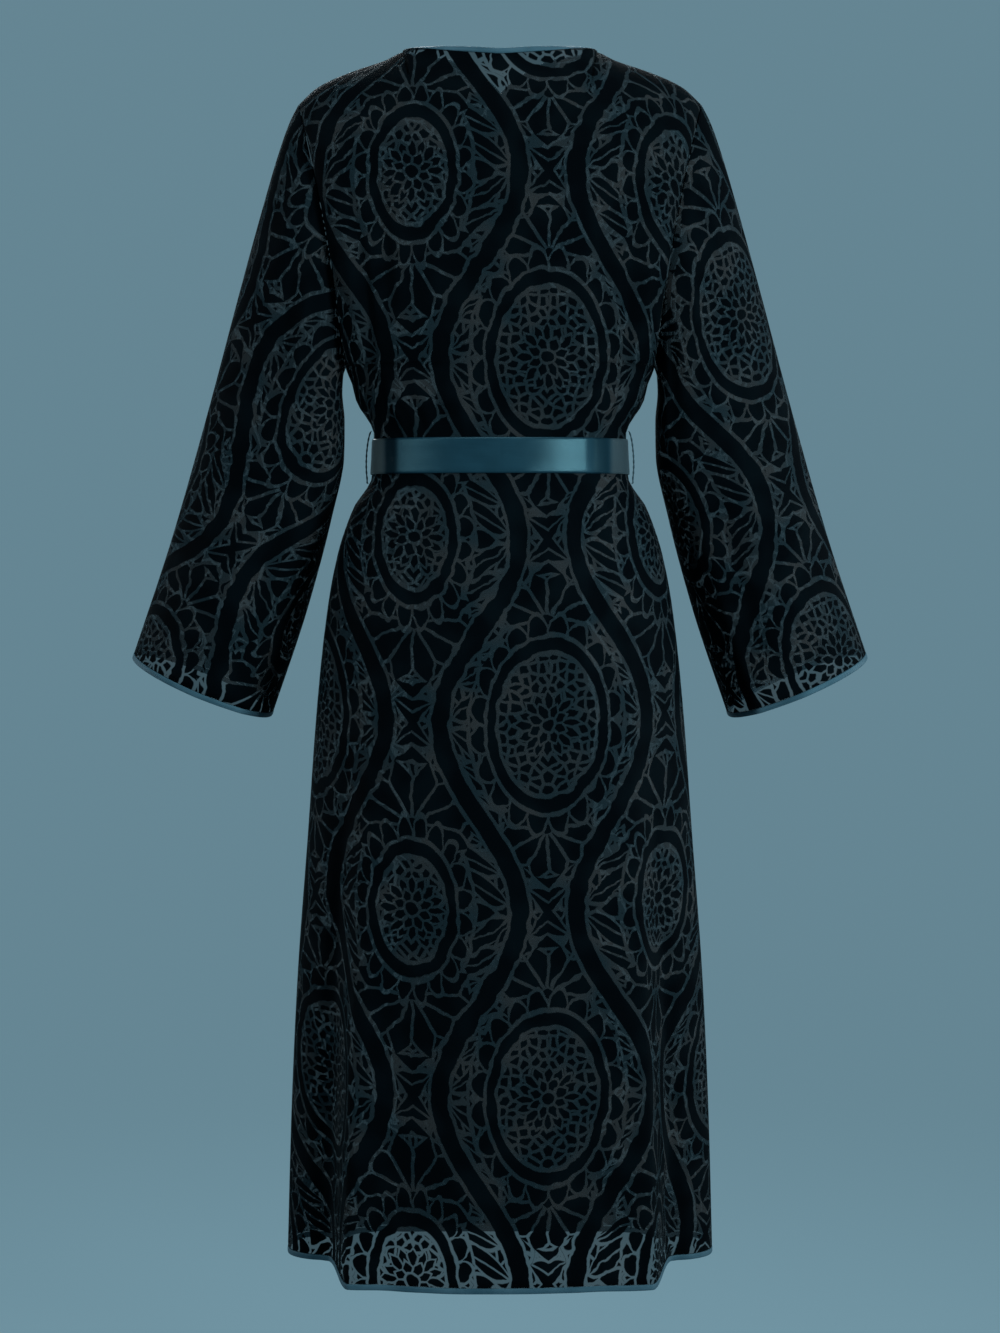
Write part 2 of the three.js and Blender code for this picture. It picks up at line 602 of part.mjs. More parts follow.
const parts = [
  ["back", back(upperLevels)],
  ["back_skirt", back(skirtLevels)],
  ["front_left", front(1, upperLevels)],
  ["front_left_skirt", front(1, skirtLevels)],
  ["front_right", front(-1, upperLevels)],
  ["front_right_skirt", front(-1, skirtLevels)],
  ["sleeve_left", halfSleeve(1, backTurns)],
  ["sleeve_left_front", halfSleeve(1, frontTurns)],
  ["sleeve_right", halfSleeve(-1, backTurns)],
  ["sleeve_right_front", halfSleeve(-1, frontTurns)],
  ["binding_neck", neckBinding],
  ["binding_edge_left", frontEdgeBand(1, upperLevels)],
  ["binding_edge_left_skirt", frontEdgeBand(1, skirtLevels)],
  ["binding_edge_right", frontEdgeBand(-1, upperLevels)],
  ["binding_edge_right_skirt", frontEdgeBand(-1, skirtLevels)],
  ["binding_hem_back", backHem],
  ["binding_hem_left", frontHem(1)],
  ["binding_hem_right", frontHem(-1)],
  ["binding_cuff_left", sleeveTube(1, [cuffStart, 1], proud, bindingThickness)],
  ["binding_cuff_right", sleeveTube(-1, [cuffStart, 1], proud, bindingThickness)],
  ["belt_band", belt],
  ["belt_knot", beltKnot()],
  ["belt_tail_left", beltTail(1, 44, tailLength)],
  ["belt_tail_right", beltTail(-1, -40, tailLength - 24)],
  ["belt_loop_left", threadLoop(1)],
  ["belt_loop_right", threadLoop(-1)],
];

const colours = { velvet: 0x0d1a20, satin: 0x2f6f86 };
const robe = new THREE.Group();
for (const [name, geometry] of parts) {
  const color = name.startsWith("b") && !name.startsWith("back") ? colours.satin : colours.velvet;
  const mesh = new THREE.Mesh(geometry, new THREE.MeshStandardMaterial({ color, roughness: 0.7 }));
  mesh.name = name;
  robe.add(mesh);
}

export default robe;
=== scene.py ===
import math
import bmesh
import bpy
import numpy as np
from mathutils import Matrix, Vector


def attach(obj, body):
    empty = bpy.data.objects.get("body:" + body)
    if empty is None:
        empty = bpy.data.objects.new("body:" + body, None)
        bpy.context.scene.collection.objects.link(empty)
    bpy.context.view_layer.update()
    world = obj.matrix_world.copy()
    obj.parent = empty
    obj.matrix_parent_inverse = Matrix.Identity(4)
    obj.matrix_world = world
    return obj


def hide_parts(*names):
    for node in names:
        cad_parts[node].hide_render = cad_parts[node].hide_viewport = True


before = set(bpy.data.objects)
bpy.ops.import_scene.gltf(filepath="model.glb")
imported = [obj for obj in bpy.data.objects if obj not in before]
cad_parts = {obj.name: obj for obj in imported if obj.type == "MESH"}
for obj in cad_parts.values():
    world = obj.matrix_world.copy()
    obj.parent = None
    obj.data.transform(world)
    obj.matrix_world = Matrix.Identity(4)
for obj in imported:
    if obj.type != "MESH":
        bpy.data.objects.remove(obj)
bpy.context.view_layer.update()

# A long kimono robe of burnt-out velvet with satin bindings and a satin sash.
# The form tables are in millimetres and every mesh is in metres.

camera = {"place": (0, 3.1, -0.498), "tilt": 2.31, "lens": 81.28}

cut = {
    "backLength": 1242, "bindingWidth": 6, "bindingThickness": 2.8, "seamGap": 0.3, "lapLift": 3.5,
    "shell": 0.0007,
    "proud": 0.4,
    "shoulderTip": 205, "armpit": (158, -316),
    "armholeDepth": {"back": 56, "front": 54}, "armholeSag": 6,
    "neckHalfWidth": 93, "neckZ": 5, "neckY": 8, "neckBackY": 62,
    "roundOver": {"back": 72, "front": 82},
    "foldFrom": 0.68, "foldTo": 0.8,
}

bodySections = {
    "z": [0, -60, -130, -220, -316, -330, -350, -384, -428, -460, -510, -570, -660, -800, -950, -1100, -1242],
    "halfWidth": [158, 158, 158, 158, 158, 152, 147, 129, 131, 150, 167, 178, 188, 199, 211, 219, 224],
    "back": [66, 84, 95, 99, 95, 94, 92, 85, 85, 96, 109, 119, 126, 129, 132, 135, 138],
    "front": [78, 92, 107, 117, 113, 111, 107, 97, 97, 102, 108, 113, 118, 124, 130, 135, 139],
    "square": [2.3, 2.3, 2.3, 2.3, 2.3, 2.3, 2.3, 2.3, 2.3, 2.3, 2.3, 2.3, 2.4, 2.6, 2.8, 3, 3.2],
    "sweep": [0, 0, 0, 0, 0, 0, 0, 0, 0, 0, 0, 2, 6, 16, 30, 46, 60],
    "step": [0, 0, 0, 0, 0, 0, 0, 0, 0, 0, 0, 0, 3, 18, 52, 92, 126],
}

# How far past the centre each front reaches, and the line of the shoulders
frontEdge = {"z": [5, 0, -27, -70, -130, -240, -390, -700, -1242],
             "reach": [-93, -48, 0, 24, 38, 56, 72, 96, 112]}
shoulderLine = {"x": [0, 93, 118, 154, 185, 205], "z": [0, 5, -5, -17, -31, -48]}

sleeveSections = {
    "t": [0, 0.05, 0.12, 0.25, 0.4, 0.6, 0.8, 1],
    "outX": [205, 214, 225, 243.5, 267, 303, 343, 387],
    "outZ": [-48.5, -66, -96, -156, -236, -362, -492, -616],
    "inX": [158.2, 161, 162, 160, 161, 176, 202, 241],
    "inZ": [-315.6, -325, -342, -370, -406, -474, -566, -678],
    "back": [55.5, 60, 64, 70, 74, 77, 79, 80],
    "front": [53.5, 57, 61, 66, 70, 74, 77, 80],
    "forward": [0, 1, 3, 9, 20, 38, 58, 80],
    "tilt": [0, 0, 0, 1, 2, 4, 7, 8],
}

# Folds: the angle round the body or the sleeve, the spread, where each begins, is deepest and ends, and
# its depth, which is negative inwards
backFolds = [
    (42, 6, -70, -200, -330, -7), (55, 6, -110, -250, -372, -8),
    (-38, 6, -80, -210, -330, -7), (-52, 6, -100, -240, -372, -9),
    (-5, 5, -427, -470, -700, -6), (-30, 5, -427, -462, -620, -5), (28, 5, -427, -466, -640, -4),
    (2, 5, -290, -364, -388, -4), (24, 5, -300, -366, -388, -4), (-30, 5, -300, -368, -388, -4),
    (20, 8, -800, -1200, -1600, -8), (-16, 8, -700, -1150, -1600, -7),
]
frontFolds = [
    (44, 7, -600, -1180, -1600, -20), (-44, 7, -640, -1180, -1600, -20),
    (56, 8, -100, -220, -372, -8), (-56, 8, -100, -220, -372, -8),
    (38, 6, -427, -480, -760, -6), (-38, 6, -427, -480, -760, -6),
]
sleeveFolds = [
    (78, 12, 0.05, 0.3, 0.75, -6), (130, 11, 0.03, 0.2, 0.5, -5), (110, 10, 0.4, 0.7, 1.2, -4),
    (250, 13, 0.05, 0.3, 0.8, -6), (300, 12, 0.2, 0.5, 1.2, -4),
]

# Finer creases that only the cloth shells carry
backCreases = [
    (-14, 2.6, -427, -446, -540, -2.6), (9, 2.2, -427, -442, -520, -2.2), (16, 2.4, -427, -450, -560, 1.8),
    (-22, 2.4, -427, -448, -560, 1.8), (40, 3, -427, -452, -600, -3), (-44, 3, -427, -450, -580, -3),
    (-10, 2.4, -330, -374, -389, 1.8), (13, 2.4, -338, -374, -389, 1.8), (-20, 2, -344, -376, -389, -2),
    (34, 2.6, -330, -372, -389, -2.4), (-40, 2.6, -330, -370, -389, 2.2), (46, 3, -320, -368, -389, 2.4),
    (60, 5, -160, -280, -340, 2.6), (-60, 5, -150, -270, -340, 2.6),
    (4, 5, -560, -900, -1242, 3), (33, 5, -700, -1000, -1600, 3.4), (-33, 5, -760, -1050, -1600, 3.4),
    (-48, 4, -640, -980, -1600, -3), (49, 4, -620, -940, -1600, -3), (10, 4, -860, -1180, -1600, -2.4),
    (-6, 4, -940, -1200, -1600, -2),
]
frontCreases = [
    (30, 3, -427, -450, -600, -3), (-30, 3, -427, -450, -600, -3), (16, 2.6, -427, -446, -540, 2),
    (-18, 2.6, -427, -446, -560, 2), (50, 4, -427, -470, -680, 3), (-50, 4, -427, -470, -680, 3),
    (28, 3, -320, -370, -389, 2), (-34, 3, -310, -370, -389, 2), (10, 4, -330, -372, -389, -2),
    (22, 5, -700, -1050, -1600, 4), (-22, 5, -660, -1020, -1600, 4), (64, 6, -600, -1000, -1600, 4),
    (-64, 6, -620, -1000, -1600, 4),
]
sleeveCreases = [
    (60, 5, 0.02, 0.14, 0.34, 2), (95, 5, 0.04, 0.2, 0.5, 2), (118, 5, 0.02, 0.12, 0.36, 1.8),
    (145, 5, 0.1, 0.3, 0.6, 1.6), (88, 6, 0.5, 0.8, 1.3, 2), (128, 6, 0.6, 0.9, 1.3, 2),
    (230, 6, 0.05, 0.2, 0.5, 2), (275, 6, 0.3, 0.6, 1.2, 2),
]


def through(places, values):
    # a smooth curve through one column of a table, with no overshoot
    order = np.argsort(places)
    at, value = np.array(places, float)[order], np.array(values, float)[order]
    rise = np.diff(value) / np.diff(at)
    before, after = rise[:-1], rise[1:]
    flat = before * after <= 0
    middle = np.where(flat, 0, 2 * before * after / np.where(flat, 1, before + after))
    slope = np.concatenate([rise[:1], middle, rise[-1:]])

    def curve(place):
        place = np.asarray(place, float)
        i = np.clip(np.searchsorted(at, place, side="right") - 1, 0, len(at) - 2)
        span = at[i + 1] - at[i]
        t = np.clip((place - at[i]) / span, 0, 1)
        h = t * t * (3 - 2 * t)
        bend = slope[i] * t * (1 - t) ** 2 - slope[i + 1] * t * t * (1 - t)
        past = slope[0] * np.minimum(place - at[0], 0) + slope[-1] * np.maximum(place - at[-1], 0)
        return value[i] * (1 - h) + value[i + 1] * h + span * bend + past

    return curve


def curves(table, key):
    return {name: through(table[key], column) for name, column in table.items() if name != key}


def mixed(a, b, t):
    return a + (b - a) * t


def ease(x, start, end):
    t = np.clip((x - start) / (end - start), 0, 1)
    return t * t * (3 - 2 * t)


def power(x, exponent):
    return np.sign(x) * np.abs(x) ** exponent


def points(x, y, z):
    return np.stack(np.broadcast_arrays(x, y, z), axis=-1).astype(float)


def unit(v):
    return v / np.maximum(np.linalg.norm(v, axis=-1, keepdims=True), 1e-9)


body = curves(bodySections, "z")
sleeve = curves(sleeveSections, "t")
reachAt = through(frontEdge["z"], frontEdge["reach"])
shoulderAt = through(shoulderLine["x"], shoulderLine["z"])
quarter = math.pi / 2
armpitX, armpitZ = cut["armpit"]
tipX = cut["shoulderTip"]
yokeSquare = float(body["square"](armpitZ))


def foldDepth(folds, angle, along):
    degrees = np.degrees(angle)
    total = 0
    for at, spread, top, full, end, depth in folds:
        way = math.copysign(1, end - top)
        run = along * way
        strength = ease(run, top * way, full * way) * (1 - ease(run, full * way, end * way))
        total = total + depth * np.exp(-(((degrees - at) / spread) ** 2)) * strength
    return total


def shareAt(angle, square):
    return power(np.sin(angle), 2 / square)


def roundAt(angle, square):
    return power(np.cos(angle), 2 / square)


def angleOf(share, square):
    return np.arcsin(power(np.clip(share, -1, 1), square / 2))


def armhole(face, turn):
    # turn 0 is the shoulder tip and pi the armpit
    share = (1 + np.cos(turn)) / 2
    x = mixed(armpitX, tipX, share) - cut["armholeSag"] * np.sin(turn) ** 2
    return x, cut["armholeDepth"][face] * power(np.sin(turn), 0.85)


def levelHeight(level):
    yoke = mixed(cut["neckZ"], armpitZ, (1 - np.cos(np.pi * level)) / 2)
    return np.where(level > 1, mixed(armpitZ, -cut["backLength"], level - 1), yoke)


def levelOf(z):
    return 1 + (armpitZ - z) / (armpitZ + cut["backLength"])


def yokePoint(face, angle, level):
    turn = np.pi * np.minimum(level, 1)
    edgeX, edgeY = armhole(face, turn)
    share = shareAt(angle, yokeSquare)
    topX = np.abs(share) * tipX
    half = cut["neckHalfWidth"]
    top = shoulderAt(np.maximum(topX, half) if face == "front" else topX)
    z = mixed(top, armpitZ, (1 - np.cos(turn)) / 2)
    seamY = cut["neckY"] * (1 - ease(topX, half, tipX))
    inNeck = np.minimum(topX / half, 1)
    neckY = mixed(cut["neckY"], cut["neckBackY"], np.sqrt(1 - inNeck**2))
    topDepth = np.where(topX < half, neckY, seamY) if face == "back" else -seamY
    drop = np.minimum((top - z) / cut["roundOver"][face], 1)
    rounded = np.sqrt(np.maximum(0, 1 - (1 - drop) ** 2))
    toShoulder = ease(topX, 0.7 * half, 1.2 * half)
    dome = rounded if face == "front" else mixed(np.sin(drop * quarter), rounded, toShoulder)
    toEdge = mixed(dome, 1, ease(topX, tipX / 2, tipX))
    swell = (body[face](z) - edgeY) * roundAt(angle, yokeSquare)
    return share * edgeX, topDepth * (1 - dome) + edgeY * toEdge + swell * dome, z


def sectionPoint(face, angle, level):
    z = levelHeight(np.maximum(level, 1))
    square = body["square"](z)
    share = shareAt(angle, square)
    side = body["sweep"](z) * (-1 if face == "back" else 1)
    step = body["step"](z) * ease(np.abs(share), cut["foldFrom"], cut["foldTo"]) if face == "back" else 0
    return share * body["halfWidth"](z), mixed(side, body[face](z) - step, roundAt(angle, square)), z


def bodyForm(face, level, angle):
    away = 1 if face == "back" else -1
    yoke, section = yokePoint(face, angle, level), sectionPoint(face, angle, level)
    x, depth, z = [np.where(level < 1, a, b) for a, b in zip(yoke, section)]
    folds, creases = (backFolds, backCreases) if face == "back" else (frontFolds, frontCreases)
    fold = foldDepth(folds, angle, z) + foldDepth(creases, angle, z)
    out = unit(points(np.sin(angle) * body[face](z), away * np.cos(angle) * body["halfWidth"](z), 0))
    return points(x, away * (depth + cut["seamGap"] / 2), z) + out * fold[..., None]


def bodyOut(face, level, angle):
    step = 0.004
    down = bodyForm(face, np.minimum(level + step, 2), angle)
    down = down - bodyForm(face, np.maximum(level - step, 0), angle)
    over = bodyForm(face, level, np.minimum(angle + step, quarter))
    over = over - bodyForm(face, level, np.maximum(angle - step, -quarter))
    return unit(np.cross(over, down) if face == "back" else np.cross(down, over))


def sleeveForm(side, t, turn):
    part = {name: curve(t) for name, curve in sleeve.items()}
    middleX, middleZ = (part["outX"] + part["inX"]) / 2, (part["outZ"] + part["inZ"]) / 2
    reachX, reachZ = (part["outX"] - part["inX"]) / 2, (part["outZ"] - part["inZ"]) / 2
    sine, cosine = np.sin(turn), np.cos(turn)
    sag = cut["armholeSag"] * sine**2 * (1 - ease(t, 0, 0.2))
    depth = np.where(sine > 0, part["back"], part["front"])
    place = points(
        middleX + reachX * cosine - sag + cut["seamGap"] * (2 + cosine),
        depth * power(sine, mixed(0.85, 0.95, t)) - part["forward"],
        middleZ + reachZ * cosine - part["tilt"] * sine,
    )
    lengthwise = np.hypot(reachX, reachZ)
    out = unit(points(reachX / lengthwise * cosine, sine, reachZ / lengthwise * cosine))
    turned = np.mod(turn, 2 * np.pi)
    fold = foldDepth(sleeveFolds, turned, t) + foldDepth(sleeveCreases, turned, t)
    return (place + out * fold[..., None]) * np.array([side, 1, 1])


def sleeveOut(side, t, turn):
    step = 0.004
    down = sleeveForm(side, np.minimum(t + step, 1), turn) - sleeveForm(side, np.maximum(t - step, 0), turn)
    over = sleeveForm(side, t, turn + step) - sleeveForm(side, t, turn - step)
    return unit(np.cross(down, over)) * side


neckAngle = float(angleOf(cut["neckHalfWidth"] / tipX, yokeSquare))


def neckBand(angle, inset):
    share = shareAt(angle, yokeSquare) * (tipX / cut["neckHalfWidth"])
    rounded = np.sqrt(np.maximum(0, 1 - share**2))
    edgeY = mixed(cut["neckY"], cut["neckBackY"], rounded) + cut["seamGap"] / 2
    edge = points(cut["neckHalfWidth"] * share, edgeY, shoulderAt(np.abs(share) * cut["neckHalfWidth"]))
    out = unit(points(0 * share, rounded**2, 0.3 * rounded**2 + share**2))
    along = unit(points(cut["neckHalfWidth"] * rounded, -(cut["neckBackY"] - cut["neckY"]) * share, 0))
    down = unit(np.cross(out, along))
    return edge + down * np.asarray(inset, float)[..., None], out


def backSheet(level, angle):
    place, out = bodyForm("back", level, angle), bodyOut("back", level, angle)
    inside = np.clip(angle, -neckAngle, neckAngle)
    band, bandOut = neckBand(inside, np.full_like(inside, cut["bindingWidth"] + cut["seamGap"]))
    shift = band - bodyForm("back", np.zeros_like(level), inside)
    atNeck = (np.abs(angle) <= neckAngle + 1e-6)[..., None]
    place = place + np.where(atNeck, shift * (1 - ease(level, 0, 0.4))[..., None], 0)
    turned = unit(mixed(out, bandOut, (1 - ease(level, 0, 0.35))[..., None]))
    return place, np.where(atNeck, turned, out)


def lap(place):
    # how far the left front stands off the right one
    reach = np.maximum(reachAt(place[..., 2]), 0)
    past = 1 - ease(place[..., 0], reach + 8, reach + 48)
    return cut["lapLift"] * past * ease(-place[..., 2], -6, 30)


def frontSheet(side, level, across, inset):
    z = levelHeight(level)
    yokeWide = armhole("front", np.pi * np.minimum(level, 1))[0]
    wide = np.where(level < 1, yokeWide, body["halfWidth"](z))
    square = np.where(level < 1, yokeSquare, body["square"](z))
    slope = (reachAt(z - 4) - reachAt(z + 4)) / 8
    edge = -reachAt(z) + inset * np.minimum(np.hypot(1, slope), 1.6)
    angle = mixed(quarter, angleOf(edge / wide, square), across) * side
    place, out = bodyForm("front", level, angle), bodyOut("front", level, angle)
    if side > 0:
        place = place + out * lap(place)[..., None]
    return place, out


# Mesh making

def gridMesh(name, columns, rows, place, developed, flip=False):
    # a grid of cloth moved onto its form. place and developed are arrays by row and column
    bm = bmesh.new()
    bmesh.ops.create_grid(bm, x_segments=columns, y_segments=rows, size=0.5)
    layer = bm.loops.layers.uv.new("cut")
    spot = {}
    for vertex in bm.verts:
        spot[vertex] = (round((0.5 - vertex.co.y) * rows), round((vertex.co.x + 0.5) * columns))
    for face in bm.faces:
        face.smooth = True
        for loop in face.loops:
            loop[layer].uv = developed[spot[loop.vert]]
    for vertex, (row, column) in spot.items():
        vertex.co = Vector(place[row, column]) * 0.001
    bmesh.ops.remove_doubles(bm, verts=bm.verts, dist=1e-6)
    if flip:
        bmesh.ops.reverse_faces(bm, faces=bm.faces)
    mesh = bpy.data.meshes.new(name)
    bm.to_mesh(mesh)
    bm.free()
    piece = bpy.data.objects.new(name, mesh)
    bpy.context.scene.collection.objects.link(piece)
    return piece


def capEnds(piece):
    bm = bmesh.new()
    bm.from_mesh(piece.data)
    edges = [edge for edge in bm.edges if edge.is_boundary]
    bmesh.ops.holes_fill(bm, edges=edges, sides=0)
    bm.to_mesh(piece.data)
    bm.free()


def shell(piece, thickness):
    # the cloth has its own thickness, inwards from its form
    solidify = piece.modifiers.new("thickness", "SOLIDIFY")
    solidify.thickness = thickness
    solidify.offset = -1
    return piece


def finish(piece, nodes, material):
    piece.data.materials.append(material)
    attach(piece, "root")
    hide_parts(*nodes)
    return piece


def developBody(place, centre, level):
    # lengths over the cloth in metres: across from one column and down from the armpit row
    across = np.cumsum(np.linalg.norm(np.diff(place, axis=1, prepend=place[:, :1]), axis=-1), axis=1)
    across = across - across[:, centre:centre + 1]
    down = np.cumsum(np.linalg.norm(np.diff(place, axis=0, prepend=place[:1]), axis=-1), axis=0)
    armpitRow = int(np.argmin(np.abs(level[:, 0] - 1)))
    down = down - down[armpitRow:armpitRow + 1] - armpitZ
    return np.stack([across, down], axis=-1) * 0.001


def developSleeve(place, side, turned):
    # a sleeve is a slanted tube, so lengths are taken along and square to its axis
    axis = unit(np.mean(place[-1], axis=0) - np.mean(place[len(place) // 3], axis=0))
    steps = np.diff(place, axis=1, prepend=place[:, :1])
    along = steps @ axis
    square = np.sqrt(np.maximum(np.sum(steps**2, axis=-1) - along**2, 0))
    across = np.cumsum(square, axis=1)
    across = across - across[:, place.shape[1] // 4:place.shape[1] // 4 + 1]
    down = place @ axis
    a, b = math.cos(turned), math.sin(turned)
    return np.stack([across * a + down * b, down * a - across * b], axis=-1) * 0.001


# Shader maths

class Shade:
    def __init__(self, tree, socket=None):
        self.tree = tree
        self.socket = socket

    def node(self, kind, settings=None, inputs=None, output=0):
        made = self.tree.nodes.new("ShaderNode" + kind)
        for name, value in (settings or {}).items():
            setattr(made, name, value)
        for key, value in (inputs or {}).items():
            if isinstance(value, Shade):
                self.tree.links.new(value.socket, made.inputs[key])
            else:
                made.inputs[key].default_value = value
        return Shade(self.tree, made.outputs[output] if len(made.outputs) else None)

    def maths(self, operation, *others):
        return self.node("Math", {"operation": operation}, dict(enumerate([self, *others])))

    def __add__(self, other):
        return self.maths("ADD", other)

    __radd__ = __add__

    def __mul__(self, other):
        return self.maths("MULTIPLY", other)

    __rmul__ = __mul__

    def __sub__(self, other):
        return self.maths("SUBTRACT", other)

    def __rsub__(self, other):
        return self.node("Math", {"operation": "SUBTRACT"}, {0: other, 1: self})

    def __truediv__(self, other):
        return self.maths("DIVIDE", other)

    def __rtruediv__(self, other):
        return self.node("Math", {"operation": "DIVIDE"}, {0: other, 1: self})

    def sine(self):
        return self.maths("SINE")

    def cosine(self):
        return self.maths("COSINE")

    def size(self):
        return self.maths("ABSOLUTE")

    def root(self):
        return self.maths("SQRT")

    def least(self, other):
        return self.maths("MINIMUM", other)

    def most(self, other):
        return self.maths("MAXIMUM", other)

    def clipped(self):
        return self.node("Clamp", None, {"Value": self})

    def step(self, start, end):
        # 0 below start, 1 above end and smooth between
        return self.node("MapRange", {"interpolation_type": "SMOOTHSTEP"},
                         {"Value": self, "From Min": start, "From Max": end, "To Min": 0, "To Max": 1})

    def wrapped(self, low, high):
        return self.maths("WRAP", high, low)

    def folded(self, size):
        return self.maths("PINGPONG", size)

    def between(self, a, b):
        # self is the share of b
        return a + (b - a) * self

    def colours(self, a, b):
        keys = {0: self, 6: a, 7: b}
        return self.node("Mix", {"data_type": "RGBA"}, keys, output=2)


def newMaterial(name):
    material = bpy.data.materials.new(name)
    material.use_nodes = True
    material.node_tree.nodes.clear()
    return material, Shade(material.node_tree)


def surface(g, shader):
    g.node("OutputMaterial", None, {"Surface": shader})


def cutPlace(g):
    # the place on the cut cloth, whole and as its two lengths in millimetres
    uv = g.node("UVMap", {"uv_map": "cut"})
    u = g.node("SeparateXYZ", None, {0: uv}) * 1000
    v = g.node("SeparateXYZ", None, {0: uv}, output=1) * 1000
    return uv, u, v


def flatNoise(g, uv, scale, detail):
    return g.node("TexNoise", {"noise_dimensions": "2D"}, {"Vector": uv, "Scale": scale, "Detail": detail})


# The burnt-out design, in millimetres and parts of a turn. Pairs are for one cell of the ogee and the next
design = {
    "repeat": {"width": 272, "height": 371, "shift": 48, "drop": 60, "sway": 40},
    "ribbon": 8.6, "ring": 4.6, "ovalHalfWidth": (57, 41), "ovalHalfHeight": (80, 62),
    "scallops": {"count": 20, "gap": 7.6, "low": 8, "rise": 12, "vein": 1.2},
    "petals": {"count": 8, "seed": 6, "gap": 8.6, "reach": 13, "point": 18, "vein": 1.2},
    "outerPetals": {"count": 16, "gap": 15.8, "reach": 24, "point": 40, "vein": 1.1, "inset": 7.4},
    "fan": {"stalk": 24, "reach": (44, 58), "halfBlade": 0.28, "seed": 5, "from": 4, "width": 14, "vein": 1.5,
            "offOval": 8},
    "sprig": {"lane": 25.0, "down": 0.8, "in": 0.6, "stretch": 1.3, "from": 15, "length": 50, "width": 11,
              "veinPlace": 1.5, "vein": 1.1, "offOval": 24, "offFan": 3},
    "cells": {"across": (17, 10), "down": (24, 10), "slant": 0.7, "vein": 1.5, "random": 0.85},
    "gap": 3.6, "cellGap": 3.2, "soft": 0.5,
}


def leafEdge(along, aside, length, width):
    # how far inside an almond leaf, from its stalk at along 0 to its tip at length
    share = (along / length).clipped()
    return share * (1 - share) * (4 * width) - aside.size()


def cells(a, b, across, down):
    # how far inside the edge of rounded cells of about this size
    d = design["cells"]
    place = a.node("CombineXYZ", None, {0: a / across, 1: b / down})
    edge = a.node("TexVoronoi", {"feature": "DISTANCE_TO_EDGE", "voronoi_dimensions": "2D"},
                  {"Vector": place, "Scale": 1.0, "Randomness": d["random"]})
    return edge * across - d["vein"]


def medallion(d, a, b, past, around, ovalX):
    # a ringed oval with a scalloped fringe outside it and rings of petals in its middle
    ring = d["ring"] - past.size()
    fringe, petals, outer = d["scallops"], d["petals"], d["outerPetals"]
    scallop = around.folded(math.pi / fringe["count"])
    lobe = scallop * (fringe["count"] / math.pi)
    edge = (past - fringe["gap"]).least(lobe * (2 - lobe) * fringe["rise"] + fringe["low"] - past)
    edge = edge.least(scallop * ovalX * 1.1 - fringe["vein"])
    radius = (a * a + b * b).root()
    turn = b.maths("ARCTAN2", a)
    small = turn.folded(math.pi / petals["count"])
    large = (turn + math.pi / outer["count"]).folded(math.pi / outer["count"])
    inner = (small * petals["point"] + petals["reach"] - radius).least(radius - petals["gap"])
    inner = (petals["seed"] - radius).most(inner.least(small * radius - petals["vein"]))
    wreath = (large * outer["point"] + outer["reach"] - radius).least(large * radius - outer["vein"])
    wreath = wreath.least(radius - small * petals["point"] - outer["gap"])
    return ring.most(edge), inner.most(wreath).least(-outer["inset"] - past)


def ogeeLeaves(u, v):
    # a plain half-drop ogee with generic leaves and rosettes. Every part is the distance inside its
    # edge in millimetres
    d, repeat = design, design["repeat"]
    wide, high = repeat["width"] / 2, repeat["height"]
    turns = 2 * math.pi / high
    x = (u + repeat["shift"]).folded(wide)
    y = v + repeat["drop"]
    other = (x - (y * turns).cosine() * repeat["sway"]).maths("GREATER_THAN", wide / 2)
    a = other.between(x, wide - x)
    b = (y + other * (high / 2)).wrapped(-high / 2, high / 2)
    tall = b.size()
    wave = b * turns
    half = wave.cosine() * repeat["sway"] + wide / 2
    slope = wave.sine() * (repeat["sway"] * turns)
    ogee = (half - a) / (slope * slope + 1).root()
    ribbon = d["ribbon"] - ogee

    # the medallion, larger in one cell than in the next
    ovalX, ovalY = other.between(*d["ovalHalfWidth"]), other.between(*d["ovalHalfHeight"])
    ax, by = a / ovalX, b / ovalY
    past = ((ax * ax + by * by).root() - 1) * ovalX
    ringed, rosette = medallion(d, a, b, past, by.maths("ARCTAN2", ax), ovalX)
    base = ribbon.most(ringed).most(rosette)

    # a fan of leaves above and below it
    fan = d["fan"]
    rise = tall - ovalY - fan["stalk"]
    fanRadius = (a * a + rise * rise).root()
    reach = other.between(*fan["reach"])
    blade = a.maths("ARCTAN2", rise).folded(fan["halfBlade"])
    leaves = leafEdge(fanRadius - fan["from"], (fan["halfBlade"] - blade) * fanRadius, reach, fan["width"])
    leaves = leaves.least(blade * fanRadius - fan["vein"]).most(fan["seed"] - fanRadius)
    leaves = leaves.least(past - fan["offOval"]).least(-d["gap"] - base)

    # slanting leaves inside the ribbon, each with a vein
    sprig = d["sprig"]
    across = (tall * sprig["down"] - ogee * sprig["in"]).wrapped(-sprig["lane"] / 2, sprig["lane"] / 2)
    slanting = leafEdge(ogee * sprig["stretch"] - sprig["from"], across, sprig["length"], sprig["width"])
    slanting = slanting.least((across + sprig["veinPlace"]).size() - sprig["vein"])
    slanting = slanting.least(past - sprig["offOval"]).least(fanRadius - reach - sprig["offFan"])
    slanting = slanting.least(-d["gap"] - ribbon)

    # small leaves and seeds in what is left of the ground
    motifs = base.most(leaves).most(slanting)
    within = past.maths("LESS_THAN", 0)
    sizes = within.between(*d["cells"]["across"]), within.between(*d["cells"]["down"])
    cell = cells(a, b + a * (1 - within) * d["cells"]["slant"], *sizes)
    return motifs.most(cell.least(-d["cellGap"] - motifs)).step(-d["soft"], d["soft"])


